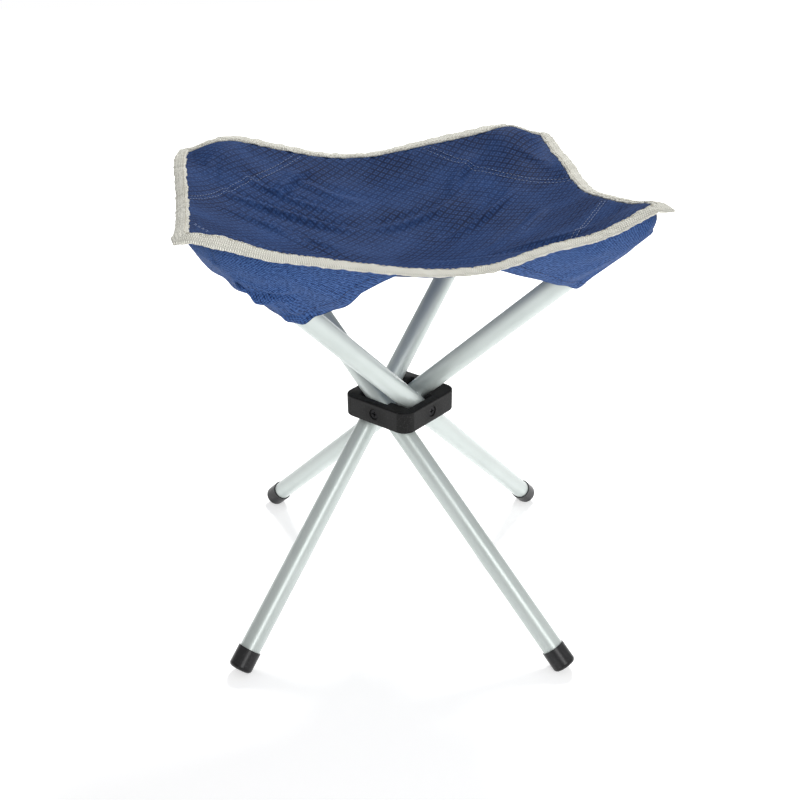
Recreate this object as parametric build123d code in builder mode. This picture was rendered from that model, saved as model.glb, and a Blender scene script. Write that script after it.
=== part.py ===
"""Camp stool: four tube legs crossing in one hub, with a sagging fabric seat held by corner pockets.

Millimetres, +Z up. The origin is on the ground under the middle of the hub, and the seat's sides are
parallel to X and Y. The four quarters of the stool are the same quarter turned by 90 degrees.
"""

import os
from math import cos, radians, sin, sqrt, tan

from build123d import *

os.makedirs("parts", exist_ok=True)

QUARTERS = 4
QUARTER_TURN = 90.0

# Leg tubes, measured from the pivot along the tube
LEAN = 46.5  # degrees from vertical when the stool stands open
TUBE_RADIUS = 8.0
TUBE_WALL = 1.0
TUBE_BELOW_PIVOT = 233.0
TUBE_ABOVE_PIVOT = 243.5
PIVOT_OFFSET = 17.0  # from the stool's middle to the tube's axis
PRESS_GAP = 0.05
OVERCUT = 1.0  # how far a cut runs on past the surface it opens

# Plastic caps
FOOT_CAP_RADIUS = 9.0
FOOT_CAP_END = 3.0
FOOT_CAP_SKIRT = 13.5
FOOT_CAP_ROUND = 2.8
FOOT_FLAT_DEPTH = 1.0  # how much of the cap's rim is worn flat where it meets the ground
TOP_CAP_RADIUS = 8.8
TOP_CAP_END = 2.5
TOP_CAP_SKIRT = 11.0
TOP_CAP_ROUND = 2.0

# Hub
HUB_WIDTH = 64.0
HUB_HEIGHT = 17.0
HUB_CORNER_RADIUS = 10.0
HUB_EDGE_RADIUS = 1.0
HUB_WALL_START = 25.4  # the slot runs from the middle to here, and the rest is the wall a bolt holds to
STOP_GAP = 0.1  # between an open tube and the sloping wall it rests against
SIDE_GAP = 0.4

# Pivot hardware
BOLT_RADIUS = 2.5
BOLT_HOLE_RADIUS = 2.575
BOLT_HEAD_RADIUS = 4.0
BOLT_HEAD_HEIGHT = 2.8
BOLT_HEAD_ROUND = 0.6
BOLT_END = 3.4  # from the stool's middle
COUNTERBORE_RADIUS = 4.3
COUNTERBORE_DEPTH = 3.5
RECESS_LENGTH = 4.4
RECESS_WIDTH = 1.0
RECESS_DEPTH = 1.6
NUT_ACROSS_FLATS = 8.0
NUT_OUTER_FACE = 8.95  # from the stool's middle, just inside the tube's side
NUT_HEIGHT = 3.6
NUT_COLLAR_RADIUS = 3.6
NUT_COLLAR_HEIGHT = 1.1

# Seat, measured up from the pivot
SEAT_CORNER_RADIUS = 204.0
SEAT_CORNER_RISE = 186.0
SEAT_EDGE_RISE = 157.0
SEAT_CENTRE_RISE = 128.0
SEAT_TURN = 5.44  # a corner's bearing from the direction its tube leans in
FIRST_CORNER_BEARING = 135.0
CLOTH = 1.4
BINDING_WIDTH = 10.0
BINDING_TAPE = 0.7

# Corner pockets
POCKET_CLOTH = 1.0
POCKET_ALONG_EDGE = 122.0  # from the seat's corner to the pocket's end on each side
POCKET_INSET = 0.8
POCKET_MOUTH = 165.0  # along the tube
POCKET_NOSE = 253.0
POCKET_KEEL = 13.0  # from the tube's axis to the pocket's keel under it
POCKET_UNDER_SEAT = 2.1

PIVOT_HEIGHT = (
    TUBE_BELOW_PIVOT * cos(radians(LEAN))
    + (FOOT_CAP_RADIUS - FOOT_CAP_ROUND) * sin(radians(LEAN))
    + FOOT_CAP_END * cos(radians(LEAN))
    + FOOT_CAP_ROUND * (1 - cos(radians(LEAN)))
    - FOOT_FLAT_DEPTH
)
UP = Vector(0, 0, 1)
HUB_MIDDLE = Vector(0, 0, PIVOT_HEIGHT)
SEAT_HALF_WIDTH = SEAT_CORNER_RADIUS / sqrt(2)


def bearing(degrees):
    """Level unit vector at an angle from +X."""
    return Vector(cos(radians(degrees)), sin(radians(degrees)), 0)


def corner_bearing(quarter):
    return FIRST_CORNER_BEARING + quarter * QUARTER_TURN


def lean_direction(quarter):
    """Level direction the tube's top leans in."""
    return bearing(corner_bearing(quarter) - SEAT_TURN)


def bolt_direction(quarter):
    """Level direction from the hub's middle out along the pivot bolt."""
    return bearing(corner_bearing(quarter) - SEAT_TURN + QUARTER_TURN)


def tube_direction(quarter):
    return lean_direction(quarter) * sin(radians(LEAN)) + UP * cos(radians(LEAN))


def pivot(quarter):
    return HUB_MIDDLE + bolt_direction(quarter) * PIVOT_OFFSET


def across_tube(quarter, distance):
    """Plane across the tube, at a distance from the pivot along it."""
    here = pivot(quarter) + tube_direction(quarter) * distance
    return Plane(origin=here, x_dir=bolt_direction(quarter), z_dir=tube_direction(quarter))


def across_bolt(quarter, distance):
    """Plane across the pivot bolt, at a distance from the hub's middle."""
    here = HUB_MIDDLE + bolt_direction(quarter) * distance
    return Plane(origin=here, x_dir=lean_direction(quarter), z_dir=bolt_direction(quarter))


def seat_corner(quarter):
    level = bearing(corner_bearing(quarter)) * SEAT_CORNER_RADIUS
    return level + UP * (PIVOT_HEIGHT + SEAT_CORNER_RISE)


def seat_side(quarter, turn):
    """Middle of the seat's side next to a corner, after it (turn 1) or before it (turn -1)."""
    level = bearing(corner_bearing(quarter) + turn * QUARTER_TURN / 2) * SEAT_HALF_WIDTH
    return level + UP * (PIVOT_HEIGHT + SEAT_EDGE_RISE)


SEAT_CENTRE = UP * (PIVOT_HEIGHT + SEAT_CENTRE_RISE)


def inward(point, distance):
    """Point on the line to the seat's centre, moved in from the seat's side by a distance."""
    return SEAT_CENTRE + (point - SEAT_CENTRE) * (1 - distance / SEAT_HALF_WIDTH)


def cloth_prism(points, thickness, lift=0.0, mode=Mode.ADD):
    """Flat piece of cloth with these corners, thickened straight up so that neighbours meet wall to wall."""
    first, second, third = [point + UP * lift for point in points[:3]]
    plane = Plane(origin=first, x_dir=second - first, z_dir=(second - first).cross(third - first))
    flat = [plane.to_local_coords(point + UP * lift) for point in points]
    with BuildSketch(plane) as outline:
        with BuildLine():
            Polyline(*[(point.X, point.Y) for point in flat], close=True)
        make_face()
    extrude(outline.sketch, amount=thickness, dir=UP, mode=mode)


# Hub: a rounded square block with a slot for each tube, crossing in the middle
half_height = HUB_HEIGHT / 2
slot_side = TUBE_RADIUS + SIDE_GAP
stop_reach = (TUBE_RADIUS + STOP_GAP) / cos(radians(LEAN))
slot_top_reach = half_height * tan(radians(LEAN)) + stop_reach
stop_height = (stop_reach - slot_side) / tan(radians(LEAN))
SLOT_OUTLINE = [
    (-slot_side, half_height),
    (slot_top_reach, half_height),
    (slot_side, -stop_height),
    (slot_side, -half_height),
    (-slot_top_reach, -half_height),
    (-slot_side, stop_height),
]
hub_turn = FIRST_CORNER_BEARING - SEAT_TURN

with BuildPart() as hub:
    hub_base = Plane(
        origin=HUB_MIDDLE - UP * half_height,
        x_dir=bearing(hub_turn),
        z_dir=UP,
    )
    with BuildSketch(hub_base):
        RectangleRounded(HUB_WIDTH, HUB_WIDTH, HUB_CORNER_RADIUS)
    extrude(amount=HUB_HEIGHT)
    rims = hub.faces().filter_by(Axis.Z)
    fillet([edge for rim in rims for edge in rim.edges()], radius=HUB_EDGE_RADIUS)
    for quarter in range(QUARTERS):
        slot_plane = Plane(origin=HUB_MIDDLE, x_dir=lean_direction(quarter), z_dir=-bolt_direction(quarter))
        with BuildSketch(slot_plane):
            with BuildLine():
                Polyline(*SLOT_OUTLINE, close=True)
            make_face()
        extrude(amount=-HUB_WALL_START, mode=Mode.SUBTRACT)
    for quarter in range(QUARTERS):
        with BuildSketch(across_bolt(quarter, HUB_WALL_START - OVERCUT)):
            Circle(BOLT_HOLE_RADIUS)
        extrude(amount=HUB_WIDTH / 2, mode=Mode.SUBTRACT)
        with BuildSketch(across_bolt(quarter, HUB_WIDTH / 2 - COUNTERBORE_DEPTH)):
            Circle(COUNTERBORE_RADIUS)
        extrude(amount=COUNTERBORE_DEPTH + OVERCUT, mode=Mode.SUBTRACT)
hub.part.label = "hub"
export_step(hub.part, "parts/hub.step")


# Each quarter's leg: tube, two caps, pivot bolt and lock nut
for quarter in range(QUARTERS):
    number = quarter + 1
    tube_axis = Axis(pivot(quarter), tube_direction(quarter))

    with BuildPart() as leg_tube:
        with BuildSketch(across_tube(quarter, -TUBE_BELOW_PIVOT)):
            Circle(TUBE_RADIUS)
            Circle(TUBE_RADIUS - TUBE_WALL, mode=Mode.SUBTRACT)
        extrude(amount=TUBE_BELOW_PIVOT + TUBE_ABOVE_PIVOT)
        with BuildSketch(across_bolt(quarter, PIVOT_OFFSET - TUBE_RADIUS - OVERCUT)):
            Circle(BOLT_HOLE_RADIUS)
        extrude(amount=2 * (TUBE_RADIUS + OVERCUT), mode=Mode.SUBTRACT)
    leg_tube.part.label = f"leg_tube_{number}"
    export_step(leg_tube.part, f"parts/leg_tube_{number}.step")

    with BuildPart() as foot_cap:
        with BuildSketch(across_tube(quarter, -TUBE_BELOW_PIVOT - FOOT_CAP_END)):
            Circle(FOOT_CAP_RADIUS)
        extrude(amount=FOOT_CAP_END + FOOT_CAP_SKIRT)
        ends = foot_cap.faces().filter_by(GeomType.PLANE).sort_by(tube_axis)
        fillet(ends[0].edges(), radius=FOOT_CAP_ROUND)
        with BuildSketch(across_tube(quarter, -TUBE_BELOW_PIVOT)):
            Circle(TUBE_RADIUS + PRESS_GAP)
        extrude(amount=FOOT_CAP_SKIRT, mode=Mode.SUBTRACT)
        foot = pivot(quarter) - tube_direction(quarter) * TUBE_BELOW_PIVOT
        with Locations((foot.X, foot.Y, -FOOT_CAP_RADIUS)):
            Box(4 * FOOT_CAP_RADIUS, 4 * FOOT_CAP_RADIUS, 2 * FOOT_CAP_RADIUS, mode=Mode.SUBTRACT)
    foot_cap.part.label = f"foot_cap_{number}"
    export_step(foot_cap.part, f"parts/foot_cap_{number}.step")

    with BuildPart() as top_cap:
        with BuildSketch(across_tube(quarter, TUBE_ABOVE_PIVOT + TOP_CAP_END)):
            Circle(TOP_CAP_RADIUS)
        extrude(amount=-TOP_CAP_END - TOP_CAP_SKIRT)
        ends = top_cap.faces().filter_by(GeomType.PLANE).sort_by(tube_axis)
        fillet(ends[-1].edges(), radius=TOP_CAP_ROUND)
        with BuildSketch(across_tube(quarter, TUBE_ABOVE_PIVOT)):
            Circle(TUBE_RADIUS + PRESS_GAP)
        extrude(amount=-TOP_CAP_SKIRT, mode=Mode.SUBTRACT)
    top_cap.part.label = f"top_cap_{number}"
    export_step(top_cap.part, f"parts/top_cap_{number}.step")

    bolt_axis = Axis(HUB_MIDDLE, bolt_direction(quarter))
    head_seat = HUB_WIDTH / 2 - COUNTERBORE_DEPTH
    with BuildPart() as pivot_bolt:
        with BuildSketch(across_bolt(quarter, BOLT_END)):
            Circle(BOLT_RADIUS)
        extrude(amount=head_seat - BOLT_END)
        with BuildSketch(across_bolt(quarter, head_seat)):
            Circle(BOLT_HEAD_RADIUS)
        extrude(amount=BOLT_HEAD_HEIGHT)
        ends = pivot_bolt.faces().filter_by(GeomType.PLANE).sort_by(bolt_axis)
        fillet(ends[-1].edges(), radius=BOLT_HEAD_ROUND)
        with BuildSketch(across_bolt(quarter, head_seat + BOLT_HEAD_HEIGHT - RECESS_DEPTH)):
            Rectangle(RECESS_LENGTH, RECESS_WIDTH)
            Rectangle(RECESS_WIDTH, RECESS_LENGTH)
        extrude(amount=RECESS_DEPTH + OVERCUT, mode=Mode.SUBTRACT)
    pivot_bolt.part.label = f"pivot_bolt_{number}"
    export_step(pivot_bolt.part, f"parts/pivot_bolt_{number}.step")

    with BuildPart() as lock_nut:
        with BuildSketch(across_bolt(quarter, NUT_OUTER_FACE)):
            RegularPolygon(NUT_ACROSS_FLATS / 2, 6, major_radius=False)
            Circle(BOLT_RADIUS + PRESS_GAP, mode=Mode.SUBTRACT)
        extrude(amount=-NUT_HEIGHT)
        with BuildSketch(across_bolt(quarter, NUT_OUTER_FACE - NUT_HEIGHT)):
            Circle(NUT_COLLAR_RADIUS)
            Circle(BOLT_RADIUS + PRESS_GAP, mode=Mode.SUBTRACT)
        extrude(amount=-NUT_COLLAR_HEIGHT)
    lock_nut.part.label = f"lock_nut_{number}"
    export_step(lock_nut.part, f"parts/lock_nut_{number}.step")


# Each quarter's fabric: a pocket under the corner, and a seat panel and binding on each side of the tube
SIDES = {"a": 1, "b": -1}

for quarter in range(QUARTERS):
    number = quarter + 1
    corner = seat_corner(quarter)
    under_tube = lean_direction(quarter) * cos(radians(LEAN)) - UP * sin(radians(LEAN))
    keel_start = pivot(quarter) + under_tube * POCKET_KEEL + tube_direction(quarter) * POCKET_MOUTH
    keel_end = pivot(quarter) + under_tube * POCKET_KEEL + tube_direction(quarter) * POCKET_NOSE

    with BuildPart() as corner_pocket:
        hem_corner = inward(corner, POCKET_INSET) - UP * POCKET_UNDER_SEAT
        for turn in SIDES.values():
            to_side = seat_side(quarter, turn) - corner
            hem_end = corner + to_side * (POCKET_ALONG_EDGE / SEAT_HALF_WIDTH)
            hem_end = inward(hem_end, POCKET_INSET) - UP * POCKET_UNDER_SEAT
            cloth_prism([hem_end, keel_start, keel_end], POCKET_CLOTH)
            cloth_prism([hem_corner, hem_end, keel_end], POCKET_CLOTH)
    corner_pocket.part.label = f"corner_pocket_{number}"
    export_step(corner_pocket.part, f"parts/corner_pocket_{number}.step")

    for letter, turn in SIDES.items():
        side = seat_side(quarter, turn)
        with BuildPart() as seat_panel:
            cloth_prism([SEAT_CENTRE, inward(corner, BINDING_TAPE), inward(side, BINDING_TAPE)], CLOTH)
        seat_panel.part.label = f"seat_panel_{number}{letter}"
        export_step(seat_panel.part, f"parts/seat_panel_{number}{letter}.step")

        strip = [inward(corner, BINDING_WIDTH), corner, side, inward(side, BINDING_WIDTH)]
        covered = [
            inward(corner, BINDING_WIDTH + OVERCUT),
            inward(corner, BINDING_TAPE),
            inward(side, BINDING_TAPE),
            inward(side, BINDING_WIDTH + OVERCUT),
        ]
        with BuildPart() as edge_binding:
            cloth_prism(strip, CLOTH + 2 * BINDING_TAPE, lift=-BINDING_TAPE)
            cloth_prism(covered, CLOTH, mode=Mode.SUBTRACT)
        edge_binding.part.label = f"edge_binding_{number}{letter}"
        export_step(edge_binding.part, f"parts/edge_binding_{number}{letter}.step")
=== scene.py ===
"""Camp stool: its fabric seat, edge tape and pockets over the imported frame, with materials and light."""

from math import cos, pi, radians, sin

import bpy
import numpy as np
from mathutils import Matrix, Vector


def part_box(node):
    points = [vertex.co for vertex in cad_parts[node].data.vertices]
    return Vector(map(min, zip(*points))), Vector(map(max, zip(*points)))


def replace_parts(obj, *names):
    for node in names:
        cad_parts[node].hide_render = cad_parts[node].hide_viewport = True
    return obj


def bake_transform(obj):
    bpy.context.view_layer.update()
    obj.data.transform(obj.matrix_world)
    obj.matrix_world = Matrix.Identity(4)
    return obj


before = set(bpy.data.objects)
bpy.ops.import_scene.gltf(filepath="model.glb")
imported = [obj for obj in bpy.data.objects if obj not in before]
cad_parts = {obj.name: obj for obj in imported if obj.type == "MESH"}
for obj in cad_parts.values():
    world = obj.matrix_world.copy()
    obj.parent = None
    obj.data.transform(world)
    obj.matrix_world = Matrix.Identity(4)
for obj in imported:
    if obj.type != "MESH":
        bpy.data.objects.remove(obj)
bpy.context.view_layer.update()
MM = 0.001


def link(name, data):
    """Object in the scene that holds some data."""
    made = bpy.data.objects.new(name, data)
    bpy.context.scene.collection.objects.link(made)
    return made


# ---- the frame's measures
LEAN = radians(46.5)  # of each tube, from upright
TIP_REACH = 246.0  # up a tube, from its pivot to the end of its top cap
PIVOT_OFFSET = 17.0  # from the hub's middle to each tube's axis
SEAT_TURN = 5.44  # degrees from the way a tube leans to its corner of the seat
PIVOT_Z = (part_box("hub")[0].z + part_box("hub")[1].z) / 2 / MM


def level(degrees):
    """Level unit vector at a bearing."""
    return np.array([cos(radians(degrees)), sin(radians(degrees)), 0.0])


class Leg:
    """One leg's directions: where its top leans, out along its bolt, up its tube, and under it."""

    def __init__(self, number):
        corner = 135.0 + 90.0 * (number - 1)
        self.lean = level(corner - SEAT_TURN)
        self.bolt = level(corner - SEAT_TURN + 90.0)
        self.along = self.lean * sin(LEAN) + np.array([0, 0, cos(LEAN)])
        self.under = self.lean * cos(LEAN) - np.array([0, 0, sin(LEAN)])
        self.pivot = self.bolt * PIVOT_OFFSET + np.array([0, 0, PIVOT_Z])

    def at(self, reach, below=0.0):
        """The place this far up the tube's axis and this far below it."""
        return self.pivot + self.along * reach + self.under * below


LEGS = {n: Leg(n) for n in (1, 2, 3, 4)}

# ---- seat sheet
CELLS = 112  # along each side, even so that a row of points lies on each middle line
BAND_CELLS = 4  # rows under the edge tape, outside the line where the cloth bends
HINGE_INSET = 9.0  # from each side's curve in to that line
BAND_WIDTH = 10.0  # the tape's
HALF_SEAT = 144.0  # from the seat's middle to each side, across the cloth
HALF_SIDE = HALF_SEAT - HINGE_INSET + BAND_WIDTH
SAG = 15.0  # how far the middle hangs below the surface drawn through the four sides
# CORNERS, SIDE_RISE and SIDE_BOW are a separate program's fit of the seat's edge to the photograph's
# outline, with the front's first and last rise then changed by hand.
# Each corner across, back and up from the pivots' level
CORNERS = {
    "front_left": np.array((-156.2, -143.5, 182.5)),
    "front_right": np.array((139.8, -143.5, 181.3)),
    "back_right": np.array((161.5, 143.0, 171.2)),
    "back_left": np.array((-156.5, 143.0, 171.4)),
}
# Height above the pivots between each side's corners, in equal steps, counter-clockwise
SIDE_RISE = {
    "front": (172.0, 165.3, 158.7, 153.4, 153.5, 162.4, 168.3),
    "right": (174.2, 167.6, 162.0, 157.2, 158.2, 163.6, 165.4),
    "back": (176.4, 171.7, 166.0, 160.8, 162.2, 170.2, 178.2),
    "left": (172.0, 169.0, 163.3, 161.2, 163.6, 168.3, 174.9),
}
# How far each side's middle stands out from the straight line between its corners
SIDE_BOW = {"front": 5.8, "right": -2.3, "back": -1.4, "left": -0.6}
SIDE_OUT = {"front": (0, -1, 0), "right": (1, 0, 0), "back": (0, 1, 0), "left": (-1, 0, 0)}


def spline(values, t):
    """Smooth curve through equally spaced values, for t from 0 to 1."""
    v = np.asarray(values, float)
    v = np.concatenate([[2 * v[0] - v[1]], v, [2 * v[-1] - v[-2]]])
    s = np.clip(np.asarray(t, float), 0, 1) * (len(v) - 3)
    i = np.minimum(s.astype(int), len(v) - 4)
    f = s - i
    a, b, c, d = v[i], v[i + 1], v[i + 2], v[i + 3]
    return 0.5 * (2 * b + (c - a) * f + (2 * a - 5 * b + 4 * c - d) * f**2 + (3 * b - a - 3 * c + d) * f**3)


def side_curve(name, start, end, t):
    """Points along a side, counter-clockwise, for t from 0 to 1."""
    p, q = CORNERS[start], CORNERS[end]
    points = p + (q - p) * t[:, None]
    points[:, 2] = spline((p[2], *SIDE_RISE[name], q[2]), t)
    points += np.array(SIDE_OUT[name]) * (SIDE_BOW[name] * np.sin(pi * t))[:, None]
    return points


def inner_grid():
    """The sheet inside the bend lines, as points [across x][along y], from its four sides."""
    t = np.linspace(0, 1, CELLS - 2 * BAND_CELLS + 1)
    front = side_curve("front", "front_left", "front_right", t)
    right = side_curve("right", "front_right", "back_right", t)
    back = side_curve("back", "back_right", "back_left", t)[::-1]
    left = side_curve("left", "back_left", "front_left", t)[::-1]
    u, v = t[:, None, None], t[None, :, None]
    flat = (
        (1 - u) * (1 - v) * CORNERS["front_left"]
        + u * (1 - v) * CORNERS["front_right"]
        + u * v * CORNERS["back_right"]
        + (1 - u) * v * CORNERS["back_left"]
    )
    grid = (1 - v) * front[:, None] + v * back[:, None] + (1 - u) * left[None] + u * right[None] - flat
    a, b = (2 * u - 1)[..., 0], (2 * v - 1)[..., 0]
    grid[..., 2] -= SAG * (1 - a**2) * (1 - b**2)
    grid[..., :2] *= 1 - HINGE_INSET / HALF_SEAT
    return grid


# Degrees the tape's band tips down from level, in equal steps along each side, counter-clockwise
DROOP = {
    "front": (14.0, 5.0, -2.0, -2.0, 4.0),
    "right": (4.0, 4.0, 8.0, 8.0, -2.0),
    "back": (-2.0, -16.0, -3.0, -14.0, -8.0),
    "left": (-8.0, 34.0, 32.0, 30.0, 14.0),
}
BEND_ROWS = 1.6  # the band comes to that angle within this many of its rows
# How much each corner is rounded off, as a share of its distance from the middle
ROUNDING = {"front_left": 0.016, "front_right": 0.012, "back_right": 0.034, "back_left": 0.042}
ROUND_POWER = 6  # the higher, the nearer the rounding keeps to the corner


def band_step(angles, rows):
    """Out and down, as [row][place], for a band bent down by an angle at each place along it."""
    turn = np.radians(angles) * np.clip((np.arange(rows) + 0.5) / BEND_ROWS, 0, 1)[:, None]
    length = BAND_WIDTH / rows
    return np.cumsum(np.cos(turn), axis=0) * length, np.cumsum(np.sin(turn), axis=0) * length


def seat_grid():
    """The resting sheet: the inner part, with a band round it that follows the tape."""
    inner = inner_grid()
    n, rows = BAND_CELLS, CELLS + 1
    place = np.clip(np.arange(rows) - n, 0, rows - 2 * n - 1)
    grid = inner[place][:, place]
    out = np.zeros((rows, rows, 2))
    down = np.zeros((rows, rows, 2))
    for name, direction in SIDE_OUT.items():
        axis = 0 if direction[0] else 1
        sign = sum(direction)
        angles = spline(DROOP[name], np.linspace(0, 1, rows))
        reach, drop = band_step(angles if name in ("front", "right") else angles[::-1], n)
        for k in range(n):
            line = n - 1 - k if sign < 0 else rows - n + k
            pick = (line, slice(None)) if axis == 0 else (slice(None), line)
            out[pick + (axis,)] = sign * reach[k]
            down[pick + (axis,)] = drop[k]
    grid[..., :2] += out
    steeper = np.abs(down[..., 0]) > np.abs(down[..., 1])
    grid[..., 2] -= np.where(steeper, down[..., 0], down[..., 1])
    t = np.linspace(-1, 1, rows)
    a, b = t[:, None], t[None, :]
    amount = sum(ROUNDING[name] * (a * x > 0) * (b * y > 0) for name, (x, y, _) in CORNERS.items())
    grid[..., :2] *= (1 - amount * np.abs(a * b) ** ROUND_POWER)[..., None]
    return grid


# Soft folds, each from (x, y) to (x, y), with its height and width
FOLDS = [
    ((-126, 62), (-22, 36), 6.2, 4.6),
    ((-110, 92), (-30, 60), 4.3, 3.8),
    ((-128, 34), (-36, 2), 5.0, 5.2),
    ((-124, -34), (-28, -62), 4.1, 5.0),
    ((-16, 38), (56, 62), 4.1, 4.8),
    ((40, 6), (104, 56), 5.5, 4.8),
    ((58, -40), (112, 6), 3.6, 5.0),
    ((-108, -112), (-50, -58), 3.8, 5.0),
    ((112, -104), (56, -56), 3.4, 5.0),
    ((-52, 118), (-84, 62), 3.1, 4.8),
    ((86, 114), (56, 66), 3.1, 5.0),
    ((-10, -122), (62, -98), 2.6, 5.0),
    ((-96, 16), (-20, -24), 3.1, 4.2),
    ((-70, 110), (-10, 74), 2.6, 4.4),
    ((10, -30), (70, -78), 2.9, 5.0),
]
FOLD_BEND = 0.06  # how far a fold bows aside, as a share of its length
FOLD_FADE = 0.8  # the lower, the more suddenly a fold rises at its two ends
HOLLOW_DEPTH = 0.6  # of the hollow beside a fold, as a share of the fold's height
HOLLOW_PLACE = 1.7  # from a fold's crest to its hollow, in widths


def fold_height(x, y, folds):
    """Height of soft folds, each a ridge with a hollow along one side."""
    total = np.zeros(np.broadcast(x, y).shape)
    for (x0, y0), (x1, y1), height, width in folds:
        length = np.hypot(x1 - x0, y1 - y0)
        along = ((x - x0) * (x1 - x0) + (y - y0) * (y1 - y0)) / length**2
        across = (-(x - x0) * (y1 - y0) + (y - y0) * (x1 - x0)) / length
        across = across + FOLD_BEND * length * np.sin(pi * np.clip(along, 0, 1))
        fade = np.sin(pi * np.clip(along, 0, 1)) ** FOLD_FADE
        hollow = HOLLOW_DEPTH * np.exp(-(((across - HOLLOW_PLACE * width) / width) ** 2))
        total += height * fade * (np.exp(-((across / width) ** 2)) - hollow)
    return total


TIP_CLEAR = 178.2  # from the pivots' level up to the cloth over a tube's capped end
TIP_SETTLE = 0.2  # how far it may sink onto the cap as it hangs
TIP_BACK = 6.0  # from the cap's end back to its highest place
TIP_SPREAD = 17.0


def lift_over_tips(grid, clear):
    """Raises the sheet where a tube's capped end pushes it up."""
    for leg in LEGS.values():
        tip = leg.at(TIP_REACH - TIP_BACK)
        gap = np.hypot(grid[..., 0] - tip[0], grid[..., 1] - tip[1])
        nearest = np.unravel_index(np.argmin(gap), gap.shape)
        need = clear - grid[nearest][2]
        grid[..., 2] += max(need, 0.0) * np.exp(-((gap / TIP_SPREAD) ** 2))


def sheet_cells():
    """Number of each point of the sheet, by place, and the four points of each cell."""
    rows = CELLS + 1
    index = np.arange(rows * rows).reshape(rows, rows)
    faces = np.stack([index[:-1, :-1], index[1:, :-1], index[1:, 1:], index[:-1, 1:]], -1)
    return index, faces.reshape(-1, 4)


PRESS_BACK = 8.0  # from a cap's end back to the middle of where the tube carries the cloth
PRESS_FIRM, PRESS_FREE = 7.2, 19.2  # from there, where its hold starts to fade and is gone
DRAPE_FRAMES = 30


def held_share(grid):
    """How firmly the tape and the four tube ends hold each point of the sheet."""
    held = np.zeros(grid.shape[:2])
    edge = BAND_CELLS + 1
    held[:edge, :] = held[-edge:, :] = held[:, :edge] = held[:, -edge:] = 1.0
    for leg in LEGS.values():
        tip = leg.at(TIP_REACH - PRESS_BACK)
        gap = np.hypot(grid[..., 0] - tip[0], grid[..., 1] - tip[1])
        held = np.maximum(held, np.clip((PRESS_FREE - gap) / (PRESS_FREE - PRESS_FIRM), 0, 1))
    return held


def drape(grid):
    """The sheet after it has hung as cloth from its taped sides and the four tube ends."""
    faces = sheet_cells()[1]
    mesh = bpy.data.meshes.new("drape")
    mesh.from_pydata((grid.reshape(-1, 3) * MM).tolist(), [], faces.tolist())
    sheet = link("drape", mesh)
    group = sheet.vertex_groups.new(name="held")
    for i, weight in enumerate(held_share(grid).flat):
        if weight > 0:
            group.add([i], float(weight), "REPLACE")
    cloth = sheet.modifiers.new("cloth", "CLOTH")
    settings = cloth.settings
    settings.quality = 6
    settings.mass = 0.25
    settings.tension_stiffness = settings.compression_stiffness = 40
    settings.shear_stiffness = 12
    settings.bending_stiffness = 0.25
    settings.tension_damping = settings.compression_damping = 12
    settings.air_damping = 3
    settings.vertex_group_mass = "held"
    settings.pin_stiffness = 40
    settings.shrink_min = -0.012
    cloth.collision_settings.use_collision = False
    cloth.collision_settings.use_self_collision = False
    scene = bpy.context.scene
    cloth.point_cache.frame_start, cloth.point_cache.frame_end = 1, DRAPE_FRAMES
    for number in range(1, DRAPE_FRAMES + 1):
        scene.frame_set(number)
    evaluated = sheet.evaluated_get(bpy.context.evaluated_depsgraph_get())
    co = np.zeros(len(mesh.vertices) * 3)
    evaluated.data.vertices.foreach_get("co", co)
    bpy.data.objects.remove(sheet)
    bpy.data.meshes.remove(mesh)
    scene.frame_set(1)
    return (co / MM).reshape(grid.shape)


def smooth(grid):
    """Moves each inner point halfway to the mean of its four neighbours."""
    core = grid[1:-1, 1:-1]
    around = grid[:-2, 1:-1] + grid[2:, 1:-1] + grid[1:-1, :-2] + grid[1:-1, 2:]
    grid[1:-1, 1:-1] = 0.5 * core + 0.125 * around
    return grid


def grid_normals(grid):
    """Unit normal at each point of a grid."""
    n = np.cross(np.gradient(grid, axis=0), np.gradient(grid, axis=1))
    return n / np.linalg.norm(n, axis=-1, keepdims=True)


EDGE_STEP = 0.03  # in from a side, as a share of the half width, to see which way the cloth leaves it


class Sheet:
    """The draped seat, read at any point: a runs -1 to 1 from left to right and b from front to back."""

    def __init__(self, grid):
        self.points = grid
        self.normals = grid_normals(grid)

    def read(self, field, a, b):
        """A field's value at (a, b), in between its points."""
        s = (np.clip(a, -1, 1) + 1) / 2 * CELLS
        t = (np.clip(b, -1, 1) + 1) / 2 * CELLS
        i = np.minimum(np.asarray(s, int), CELLS - 1)
        j = np.minimum(np.asarray(t, int), CELLS - 1)
        f, g = (s - i)[..., None], (t - j)[..., None]
        return (
            field[i, j] * (1 - f) * (1 - g)
            + field[i + 1, j] * f * (1 - g)
            + field[i + 1, j + 1] * f * g
            + field[i, j + 1] * (1 - f) * g
        )

    def point(self, a, b, lift=0.0):
        """The place at (a, b), lifted off the cloth. Past the sides, the sheet goes on straight out."""
        a, b = np.asarray(a, float), np.asarray(b, float)
        reach = np.maximum(np.maximum(np.abs(a), np.abs(b)), 1.0)
        at = self.read(self.points, a / reach, b / reach)
        inner = self.read(self.points, a / reach * (1 - EDGE_STEP), b / reach * (1 - EDGE_STEP))
        at = at + (at - inner) / EDGE_STEP * (reach - 1.0)[..., None]
        return at + self.normal(a, b) * np.asarray(lift)[..., None]

    def normal(self, a, b):
        """The cloth's unit normal at (a, b)."""
        n = self.read(self.normals, a, b)
        return n / np.linalg.norm(n, axis=-1, keepdims=True)


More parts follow.
